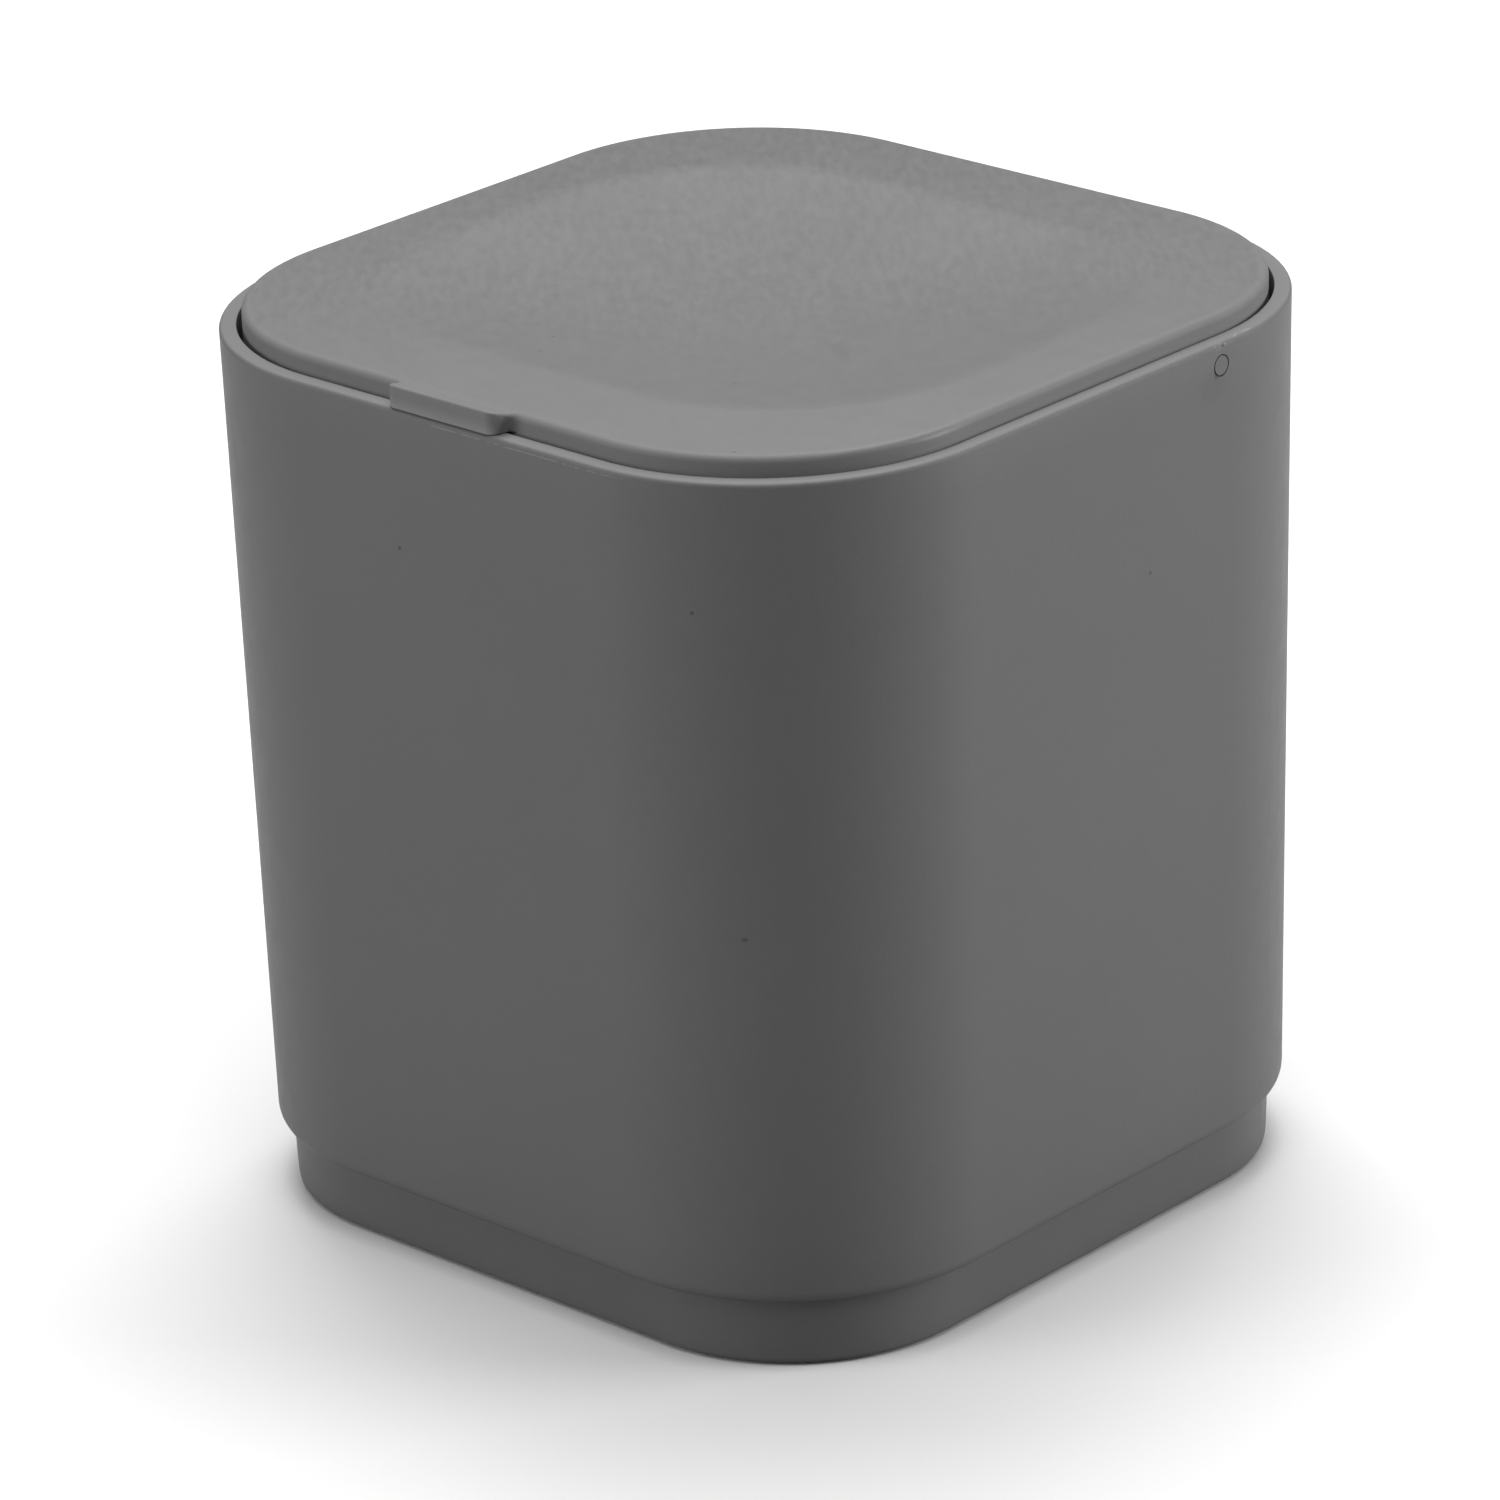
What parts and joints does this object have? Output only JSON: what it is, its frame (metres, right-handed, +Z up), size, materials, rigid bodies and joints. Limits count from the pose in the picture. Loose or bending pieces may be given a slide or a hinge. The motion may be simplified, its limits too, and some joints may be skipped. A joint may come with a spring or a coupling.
{
  "type": "tabletop waste bin",
  "caption": "Small square tabletop waste bin with large round corners, a stepped base plinth and a dished lid that tilts up by a front tab on pins near the back.",
  "frame": {"origin": "centre of the base, on the surface that the feet stand on", "axes": "+Z up, -Y towards the lift tab at the front, +X to the right"},
  "size_m": [0.15, 0.15, 0.1589],
  "materials": {
    "body_plastic": "fine satin moulded grain",
    "plinth_plastic": "fine satin moulded grain",
    "lid_plastic": "smooth satin",
    "pin_plastic": "turned satin",
    "foot_rubber": "matte"
  },
  "bodies": {
    "bin": {"body_shell": "body_plastic", "base_plinth": "plinth_plastic", "hinge_pin_left": "pin_plastic", "hinge_pin_right": "pin_plastic", "foot_front_left": "foot_rubber", "foot_front_right": "foot_rubber", "foot_rear_left": "foot_rubber", "foot_rear_right": "foot_rubber"},
    "lid": {"lid": "lid_plastic"}
  },
  "joints": [
    {"name": "lid_hinge", "type": "hinge", "parent": "bin", "child": "lid", "pos_m": [0, 0.0293, 0.151], "axis": [-1, 0, 0], "range_deg": [0, 95]}
  ]
}
